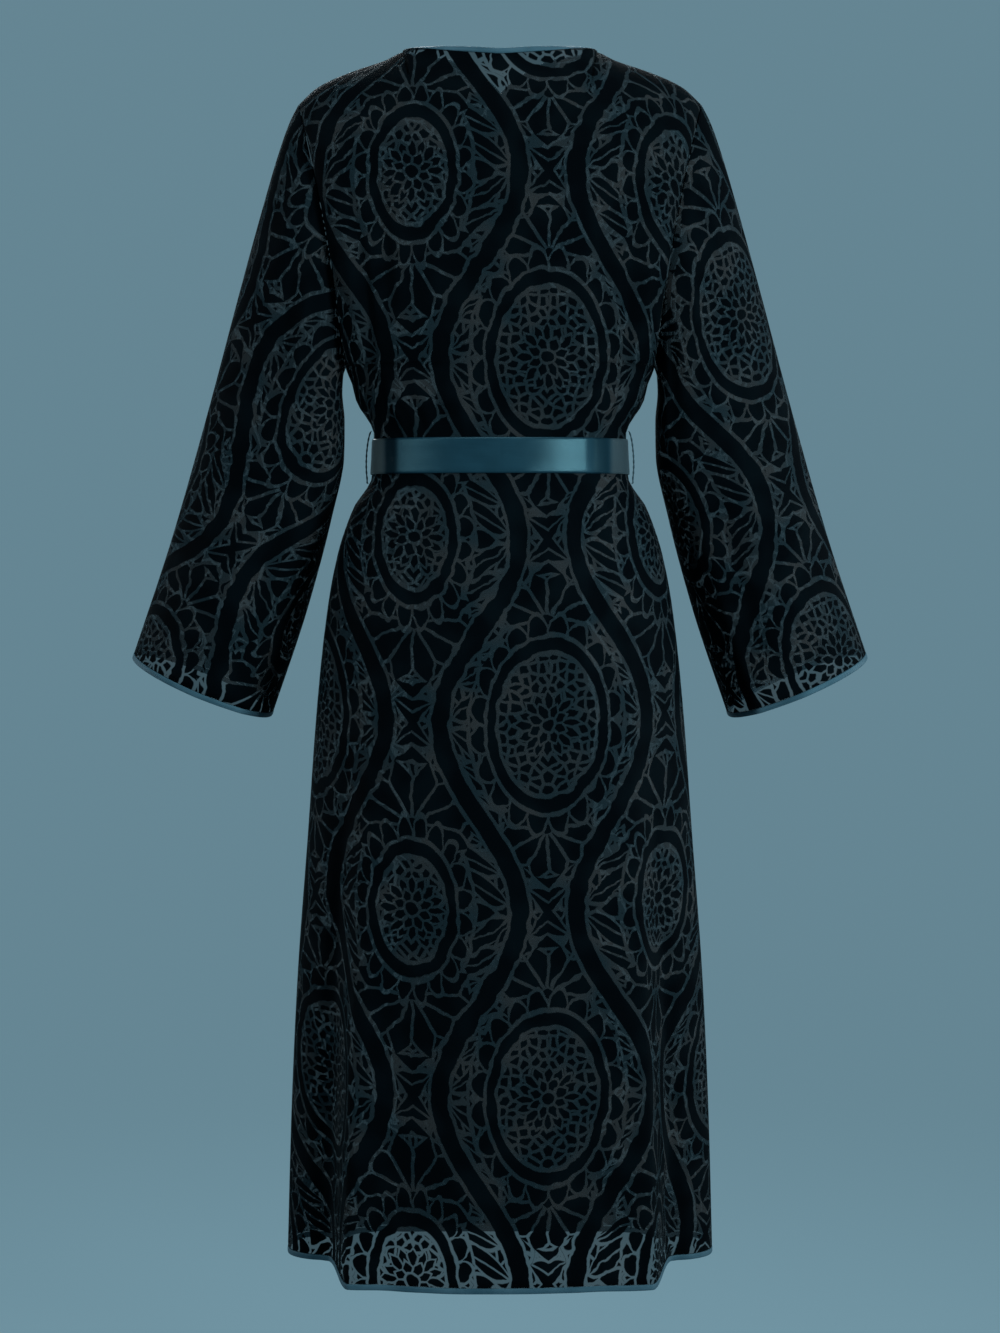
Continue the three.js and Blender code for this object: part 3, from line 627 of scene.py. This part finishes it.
devoreVelvet = {
    "pile": (0.0001, 0.0007, 0.0012), "pileLight": (0.0004, 0.0016, 0.0024), "pileRoughness": 0.9,
    "ground": (0.020, 0.025, 0.027), "groundDeep": (0.0075, 0.017, 0.022), "groundRoughness": 0.62,
    "groundAlpha": 0.5, "pileHeight": 0.0007, "handDrawn": 7, "weave": 5.2,
}


def makeVelvet():
    d = devoreVelvet
    material, g = newMaterial("devore_velvet")
    uv, u, v = cutPlace(g)
    drawn = flatNoise(g, uv, 55.0, 2.0) - 0.5
    pile = ogeeLeaves(u + drawn * d["handDrawn"], v - drawn * d["handDrawn"])
    nap = flatNoise(g, uv, 22.0, 1.0)
    tuft = flatNoise(g, uv, 1400.0, 0.0)
    pileColour = nap.step(0.35, 0.75).colours((*d["pile"], 1), (*d["pileLight"], 1))
    groundColour = nap.step(0.3, 0.8).colours((*d["groundDeep"], 1), (*d["ground"], 1))
    colour = pile.colours(groundColour, pileColour)
    weave = ((u * d["weave"]).sine() * (v * d["weave"]).sine()) * 0.1
    height = tuft * 0.35 + weave
    bump = g.node("Bump", None, {"Strength": 0.7, "Distance": d["pileHeight"], "Height": height})
    shader = g.node("BsdfPrincipled", None, {
        "Base Color": colour, "Roughness": pile.between(d["groundRoughness"], d["pileRoughness"]),
        "Alpha": pile.between(d["groundAlpha"], 1.0), "Normal": bump,
        "Sheen Weight": 0.005, "Sheen Roughness": 0.3, "Sheen Tint": (0.5, 0.8, 0.9, 1),
        "Specular IOR Level": 0.01,
    })
    surface(g, shader)
    material.use_transparent_shadow = False
    return material


satin = {"colour": (0.0045, 0.019, 0.029), "deep": (0.003, 0.0135, 0.021), "roughness": 0.25, "shine": 0.17}

# Painted shade and painted reflection at the sides of the sash: dark painted shade in the creases, and a pale
# painted reflection where the band turns to the sides under the loops. Each side has a strength, and the
# millimetres from the middle between which the mark comes and, where it ends, goes
sashPaintedShadeAndReflection = [
    # painted shade: dark in the creases near the sides of the band
    {"colour": (0.0007, 0.004, 0.0068), "left": (1, 100, 108, 113, 121), "right": (0.6, 90, 98, 107, 115)},
    # painted reflection: pale where the band turns to the sides under the loops
    {"colour": (0.028, 0.041, 0.044), "left": (1, 114, 121), "right": (0.5, 109, 116)},
]


# how much painted shade or painted reflection one side of the sash gets
def paintedSideShare(x, strength, start, full, *goes):
    paintedMark = x.step(start, full)
    if goes:
        paintedMark = paintedMark * (1 - x.step(*goes))
    return paintedMark * strength


def makeSatin(name, d, paintedMarks=()):
    material, g = newMaterial(name)
    uv, u, v = cutPlace(g)
    cloud = flatNoise(g, uv, 30.0, 3.0)
    slub = g.node("TexNoise", None, {
        "Vector": g.node("CombineXYZ", None, {0: u * 0.02, 1: v * 1.6}), "Scale": 1.0, "Detail": 2.0})
    colour = (cloud * 0.6 + slub * 0.4).step(0.3, 0.7).colours((*d["deep"], 1), (*d["colour"], 1))
    # the colour takes its painted shade and painted reflection here
    for paintedMark in paintedMarks:
        x = g.node("SeparateXYZ", None, {0: g.node("TexCoord", output=3)}) * 1000  # on the whole robe
        strength = paintedSideShare(x, *paintedMark["left"]) + paintedSideShare(x * -1, *paintedMark["right"])
        colour = strength.colours(colour, (*paintedMark["colour"], 1))
    weave = ((u + v * 0.4) * 9).sine() * 0.2 + slub * 0.5
    bump = g.node("Bump", None, {"Strength": 0.25, "Distance": 0.0003, "Height": weave})
    shader = g.node("BsdfPrincipled", None, {
        "Base Color": colour, "Roughness": d["roughness"] + slub * 0.1, "Normal": bump,
        "Specular IOR Level": d["shine"], "Specular Tint": (0.35, 0.85, 1, 1),
    })
    surface(g, shader)
    return material


velvet = makeVelvet()
# the sash gets painted shade in its creases and a painted reflection at its sides
sashSatin = makeSatin("satin_sash", satin, sashPaintedShadeAndReflection)
bindingSatin = makeSatin("satin_binding", dict(
    satin, colour=(0.022, 0.052, 0.07), deep=(0.012, 0.034, 0.048), roughness=0.6, shine=0.1))
print("materials made")

# The back, the fronts and the sleeves

hemLevel = float(levelOf(-cut["backLength"] + cut["bindingWidth"] + cut["seamGap"]))


# rows are closer together where the cloth turns over the shoulders
panelLevels = np.concatenate([
    np.linspace(0, 0.16, 13)[:-1], np.linspace(0.16, 1, 39)[:-1], np.linspace(1, hemLevel, 112)])

backPanel = {"neckColumns": 56, "sideColumns": 72}


def makeBack():
    inner = np.linspace(-neckAngle, neckAngle, backPanel["neckColumns"] + 1)
    outer = np.linspace(neckAngle, quarter, backPanel["sideColumns"] + 1)[1:]
    angles = np.concatenate([-outer[::-1], inner, outer])
    level, angle = np.meshgrid(panelLevels, angles, indexing="ij")
    place, _ = backSheet(level, angle)
    developed = developBody(place, len(angles) // 2, level)
    piece = gridMesh("back_panel", len(angles) - 1, len(panelLevels) - 1, place, developed, flip=True)
    shell(piece, cut["shell"])
    return finish(piece, ["back", "back_skirt"], velvet)


frontPanel = {"columns": 100}


def makeFront(side, name, nodes):
    across = np.linspace(0, 1, frontPanel["columns"] + 1)
    level, over = np.meshgrid(panelLevels, across, indexing="ij")
    inset = np.full_like(level, cut["bindingWidth"] + cut["seamGap"])
    place, _ = frontSheet(side, level, over, inset)
    developed = developBody(place, 0, level)
    piece = gridMesh(name, len(across) - 1, len(panelLevels) - 1, place, developed, flip=side < 0)
    shell(piece, cut["shell"])
    return finish(piece, nodes, velvet)


sleeveTube = {"columns": 150, "rows": 110, "run": 650, "turned": {1: 0.44, -1: 0.0}}


def makeSleeve(side, name, nodes):
    d = sleeveTube
    end = 1 - (cut["bindingWidth"] + cut["seamGap"]) / d["run"]
    stages = end * (np.linspace(0, 1, d["rows"] + 1) ** 1.15)
    turns = np.linspace(0, 2 * np.pi, d["columns"] + 1)
    t, turn = np.meshgrid(stages, turns, indexing="ij")
    place = sleeveForm(side, t, turn)
    place[:, -1] = place[:, 0]
    developed = developSleeve(place, side, d["turned"][side])
    piece = gridMesh(name, d["columns"], d["rows"], place, developed, flip=side < 0)
    shell(piece, cut["shell"])
    return finish(piece, nodes, velvet)


back = makeBack()
fronts = {1: makeFront(1, "front_over", ["front_left", "front_left_skirt"]),
          -1: makeFront(-1, "front_under", ["front_right", "front_right_skirt"])}
sleeves = {1: makeSleeve(1, "sleeve_cloth_left", ["sleeve_left", "sleeve_left_front"]),
           -1: makeSleeve(-1, "sleeve_cloth_right", ["sleeve_right", "sleeve_right_front"])}
print("panels and sleeves made")

# Bindings, folded over the edges of the cloth

binding = {"sides": 16, "flatness": 0.62, "pucker": 0.12}


def makeBinding(name, nodes, along, edge, closed=False, flip=False):
    # edge gives the points and the directions out for arrays of the place along and of the inset
    d = binding
    turns = np.linspace(0, 2 * np.pi, d["sides"] + 1)
    run, turn = np.meshgrid(along, turns, indexing="ij")
    wide, thick = cut["bindingWidth"], cut["bindingThickness"]
    inset = wide / 2 * (1 + power(np.cos(turn), d["flatness"]))
    off = cut["proud"] - thick / 2 * (1 - power(np.sin(turn), d["flatness"]))
    place, out = edge(run, inset)
    lengths = np.cumsum(np.linalg.norm(np.diff(place[:, :1], axis=0, prepend=place[:1, :1]), axis=-1), axis=0)
    ripple = 1 + d["pucker"] * np.sin(lengths / 3.1 + np.sin(lengths / 17) * 2)
    place = place + out * (off * ripple)[..., None]
    place[:, -1] = place[:, 0]
    if closed:
        place[-1] = place[0]
    developed = np.stack(np.broadcast_arrays(lengths, turn * wide / 3), axis=-1) * 0.001
    piece = gridMesh(name, len(turns) - 1, len(along) - 1, place, developed, flip)
    if not closed:
        capEnds(piece)
    return finish(piece, nodes, bindingSatin)


def cuffEdge(side):
    def edge(turn, inset):
        t = 1 - inset / sleeveTube["run"]
        return sleeveForm(side, t, turn), sleeveOut(side, t, turn)
    return edge


def hemEdge(sheet):
    def edge(run, inset):
        return sheet(levelOf(-cut["backLength"] + inset), run)
    return edge


def frontHem(side):
    return hemEdge(lambda level, across: frontSheet(side, level, across, 0 * across))


def frontEdgeBand(side):
    def edge(run, inset):
        return frontSheet(side, run, np.ones_like(run), inset)
    return edge


neckRun = np.linspace(-neckAngle, neckAngle, 121)
backHemRun = np.linspace(-quarter, quarter, 261)
frontHemRun = np.linspace(0, 1, 141)
frontEdgeRun = np.concatenate([np.linspace(0, 1, 81)[:-1], np.linspace(1, hemLevel, 181)])
cuffRun = np.linspace(0, 2 * np.pi, 221)
makeBinding("binding_neckline", ["binding_neck"], neckRun, neckBand, flip=True)
makeBinding("binding_back_hem", ["binding_hem_back"], backHemRun, hemEdge(backSheet), flip=True)
for side, word in ((1, "left"), (-1, "right")):
    makeBinding(f"binding_front_hem_{word}", [f"binding_hem_{word}"], frontHemRun, frontHem(side),
                flip=side < 0)
    edgeNodes = [f"binding_edge_{word}", f"binding_edge_{word}_skirt"]
    makeBinding(f"binding_front_edge_{word}", edgeNodes, frontEdgeRun, frontEdgeBand(side), flip=side > 0)
    makeBinding(f"binding_sleeve_{word}", [f"binding_cuff_{word}"], cuffRun, cuffEdge(side), closed=True,
                flip=side > 0)
print("bindings made")

# The sash: its band, the knot at the front and the two hanging ends

sash = {"top": -390, "width": 36, "thickness": 1.6, "slack": 0.5, "shell": 0.0012}
sashEnds = {1: {"name": "sash_end_left", "node": "belt_tail_left", "hangsTo": 44, "length": 430},
            -1: {"name": "sash_end_right", "node": "belt_tail_right", "hangsTo": -40, "length": 406}}
tailSections = {"s": [0, 0.08, 0.2, 0.4, 0.7, 1], "halfWidth": [0.42, 0.66, 0.9, 1, 1, 1],
                "stand": [8, 6, 2, 0.1, 0.1, 0.1], "spread": [0.22, 0.34, 0.56, 0.74, 0.9, 1]}
knotSections = {"x": [-25, -19, -9, 0, 9, 19, 25], "halfHeight": [7, 14, 18.5, 19.5, 18.5, 14, 7],
                "stand": [6, 12, 17, 19, 17, 12, 6], "rise": [-4, -3, -1, 0, 1, 3, 4]}


def beltSheet(z, turn):
    behind = np.cos(turn) >= 0
    backAngle = np.arctan2(np.sin(turn), np.cos(turn))
    level = levelOf(z)
    backPlace, backOut = bodyForm("back", level, backAngle), bodyOut("back", level, backAngle)
    frontAngle = np.pi - turn
    frontPlace, frontOut = bodyForm("front", level, frontAngle), bodyOut("front", level, frontAngle)
    over = ease(frontPlace[..., 0], -reachAt(z) - 26, -reachAt(z) - 3)
    frontPlace = frontPlace + frontOut * ((lap(frontPlace) + cut["proud"]) * over)[..., None]
    return np.where(behind[..., None], backPlace, frontPlace), np.where(behind[..., None], backOut, frontOut)


def makeBand():
    rows = 18
    heights = sash["top"] - sash["width"] * np.linspace(0, 1, rows + 1)
    turns = np.linspace(0, 2 * np.pi, 301)
    z, turn = np.meshgrid(heights, turns, indexing="ij")
    flatForm, out = beltSheet(z, turn)
    share = (sash["top"] - z) / sash["width"]
    x, behind = flatForm[..., 0], flatForm[..., 1] > 0
    creases = 0.07 * np.sin(share * 7 + turn * 1.3) * np.sin(turn * 2 + 1)
    creases = creases + 0.04 * np.sin(share * 15 - turn * 2)
    creases = creases + 1.1 * np.exp(-(((x + 24) / 17) ** 2)) * ease(share, 0.5, 0.95) * behind
    # upright dents where the band turns to the sides of the body
    dents = ease(-x, 84, 95) * (1 - ease(-x, 112, 126)) + ease(x, 101, 111) * (1 - ease(x, 117, 129))
    edges = -0.5 * np.exp(-((share / 0.03) ** 2)) - 0.5 * np.exp(-(((1 - share) / 0.03) ** 2))
    lift = creases + edges + 0.5 - np.where(behind, dents * (1.1 + 0.2 * np.sin(share * 5)), 0)
    place = flatForm + out * (sash["slack"] + sash["thickness"] + lift)[..., None]
    place[:, -1] = place[:, 0]
    lengths = np.cumsum(np.linalg.norm(np.diff(place, axis=1, prepend=place[:, :1]), axis=-1), axis=1)
    developed = np.stack([lengths, share * sash["width"]], axis=-1) * 0.001
    piece = gridMesh("sash_band", len(turns) - 1, rows, place, developed, flip=True)
    shell(piece, sash["shell"])
    return finish(piece, ["belt_band"], sashSatin)


def makeKnot():
    knot = curves(knotSections, "x")
    middle = sash["top"] - sash["width"] / 2
    start = beltSheet(np.array([float(middle)]), np.array([math.pi]))[0][0, 1]
    against = start - sash["slack"] - sash["thickness"] - 0.6
    xs = np.linspace(-25, 25, 61)
    turns = np.linspace(0, 2 * np.pi, 97)
    x, turn = np.meshgrid(xs, turns, indexing="ij")
    crease = 1 - 0.2 * np.exp(-(((turn - quarter + x / 40) / 0.3) ** 2))
    crease = crease - 0.08 * np.exp(-(((turn - 0.9 - x / 50) / 0.14) ** 2))
    crease = crease - 0.08 * np.exp(-(((turn - 2.3 + x / 60) / 0.14) ** 2)) + 0.02 * np.sin(turn * 9 + x / 6)
    out = knot["stand"](x) * (0.5 + 0.5 * power(np.sin(turn), 0.8)) * crease
    high = middle + knot["rise"](x) + knot["halfHeight"](x) * power(np.cos(turn), 0.8)
    place = points(x, against - out, high)
    place[:, -1] = place[:, 0]
    developed = np.stack([x, turn * 14], axis=-1) * 0.001
    piece = gridMesh("sash_knot", len(turns) - 1, len(xs) - 1, place, developed)
    capEnds(piece)
    return finish(piece, ["belt_knot"], sashSatin)


def makeTail(side):
    d = sashEnds[side]
    tail = curves(tailSections, "s")
    top = sash["top"] - sash["width"] - 1.9
    s, across = np.meshgrid(np.linspace(0, 1, 121), np.linspace(-1, 1, 21), indexing="ij")
    z = top - s * d["length"]
    x = side * 3 + d["hangsTo"] * tail["spread"](s) + across * sash["width"] * tail["halfWidth"](s) / 2
    angle = angleOf(x / body["halfWidth"](z), body["square"](z))
    out = bodyOut("front", levelOf(z), angle)
    place = bodyForm("front", levelOf(z), angle)
    crease = 0.8 * np.sin(across * 6 + s * 5) * (1 - ease(s, 0, 0.5)) + 0.25 * np.sin(across * 3 + s * 11)
    lift = lap(place) + tail["stand"](s) + sash["thickness"] + cut["seamGap"] + crease * 0.6 + 0.4
    place = place + out * lift[..., None]
    developed = np.stack([s * d["length"], across * sash["width"] / 2], axis=-1) * 0.001
    piece = gridMesh(d["name"], 20, 120, place, developed)
    shell(piece, sash["shell"])
    return finish(piece, [d["node"]], sashSatin)


band = makeBand()
makeKnot()
tails = [makeTail(1), makeTail(-1)]
print("sash made")

# The thread loops at the side seams

loop = {"radius": 0.8, "bulge": 5, "past": 9, "off": 1.9, "length": 54}
thread = makeSatin("loop_thread", dict(
    satin, colour=(0.02, 0.04, 0.05), deep=(0.012, 0.026, 0.034), roughness=0.7))


def makeLoop(side, name, node):
    s, turn = np.meshgrid(np.linspace(0, 1, 61), np.linspace(0, 2 * np.pi, 9), indexing="ij")
    z = mixed(sash["top"] + loop["past"], sash["top"] - sash["width"] - loop["past"], s)
    away = loop["radius"] + loop["off"] + loop["bulge"] * np.sqrt(np.maximum(np.sin(np.pi * s), 0))
    twist = loop["radius"] * (1 + 0.22 * np.cos(2 * turn + s * 60))
    x = body["halfWidth"](z) + away + twist * np.sin(turn)
    place = points(side * x, twist * np.cos(turn), z)
    place[:, -1] = place[:, 0]
    developed = np.stack([s * loop["length"], turn], axis=-1) * 0.001
    piece = gridMesh(name, 8, 60, place, developed, flip=side < 0)
    capEnds(piece)
    return finish(piece, [node], thread)


makeLoop(1, "sash_loop_left", "belt_loop_left")
makeLoop(-1, "sash_loop_right", "belt_loop_right")

# The floor, lights and camera

# The floor curves up into a wall. Its rings are the radius and the height above the floor, in metres
stage = {"floor": -1.5, "colour": (0.03, 0.051, 0.06), "glow": (0.125, 0.222, 0.272),
         "rings": [(3, 0), (5.5, 0), (7, 0.25), (8.2, 1.0), (8.8, 2.2), (9, 4), (9, 8)]}


def makeFloor():
    bm = bmesh.new()
    bmesh.ops.create_circle(bm, cap_ends=False, segments=96, radius=0.01)
    rim = list(bm.edges)
    for radius, height in stage["rings"]:
        made = bmesh.ops.extrude_edge_only(bm, edges=rim)["geom"]
        rim = [item for item in made if isinstance(item, bmesh.types.BMEdge)]
        for vertex in {v for edge in rim for v in edge.verts}:
            flat = Vector((vertex.co.x, vertex.co.y, 0)).normalized() * radius
            vertex.co = (flat.x, flat.y, height)
    bmesh.ops.holes_fill(bm, edges=[e for e in bm.edges if e.is_boundary], sides=0)
    lid = [face for face in bm.faces if len(face.verts) > 90 and face.calc_center_median().z > 1]
    bmesh.ops.delete(bm, geom=lid, context="FACES_ONLY")
    bmesh.ops.translate(bm, verts=bm.verts, vec=(0, 0, stage["floor"]))
    for face in bm.faces:
        face.smooth = True
    mesh = bpy.data.meshes.new("floor")
    bm.to_mesh(mesh)
    bm.free()
    piece = bpy.data.objects.new("floor", mesh)
    bpy.context.scene.collection.objects.link(piece)
    material, g = newMaterial("floor_paint")
    surface(g, g.node("BsdfPrincipled", None, {
        "Base Color": (*stage["colour"], 1), "Roughness": 1.0, "Specular IOR Level": 0.0,
        "Emission Color": (*stage["glow"], 1), "Emission Strength": 1.0}))
    material.cycles.emission_sampling = "NONE"
    mesh.materials.append(material)


lights = {
    "key": {"place": (-1.95, 2.15, -0.2), "size": (0.7, 1.7), "energy": 22, "reach": 60,
            "colour": (0.93, 0.98, 1)},
    "fill": {"place": (2.5, 1.7, 0.1), "size": (1.4, 1.8), "energy": 6, "reach": 60,
             "colour": (0.9, 0.97, 1)},
    "side right": {"place": (-2.85, -0.8, -0.3), "size": (0.8, 1.6), "energy": 9, "reach": 60},
    "side left": {"place": (2.8, -0.95, -0.3), "size": (0.8, 1.6), "energy": 6, "reach": 60},
    "front": {"place": (0.3, -2.6, 1.5), "size": (1.8, 1.8), "energy": 24, "reach": 70},
    "top": {"place": (0, 0.6, 2.4), "size": (1.6, 1.6), "energy": 10, "reach": 60},
}
aim = (0, 0, -0.5)


def addLight(name, place, size, energy, reach, colour=(0.95, 0.98, 1)):
    light = bpy.data.lights.new(name, "AREA")
    light.shape = "RECTANGLE"
    light.size, light.size_y = size
    light.energy = energy
    light.spread = math.radians(reach)
    light.color = colour
    lamp = bpy.data.objects.new(name, light)
    bpy.context.scene.collection.objects.link(lamp)
    lamp.location = place
    lamp.rotation_euler = (Vector(aim) - Vector(place)).to_track_quat("-Z", "Y").to_euler()


makeFloor()
for name, values in lights.items():
    addLight(name, **values)

world = bpy.data.worlds.new("studio")
bpy.context.scene.world = world
world.use_nodes = True
world.node_tree.nodes["Background"].inputs[0].default_value = (0.62, 0.78, 0.88, 1)
world.node_tree.nodes["Background"].inputs[1].default_value = 0.35

lens = bpy.data.cameras.new("camera")
lens.lens = camera["lens"]
lens.sensor_width = 36
lens.clip_end = 60
viewer = bpy.data.objects.new("camera", lens)
bpy.context.scene.collection.objects.link(viewer)
viewer.location = camera["place"]
viewer.rotation_euler = (math.radians(90 - camera["tilt"]), 0, math.pi)
bpy.context.scene.camera = viewer
bpy.context.scene.view_settings.view_transform = "Standard"
print("stage set")
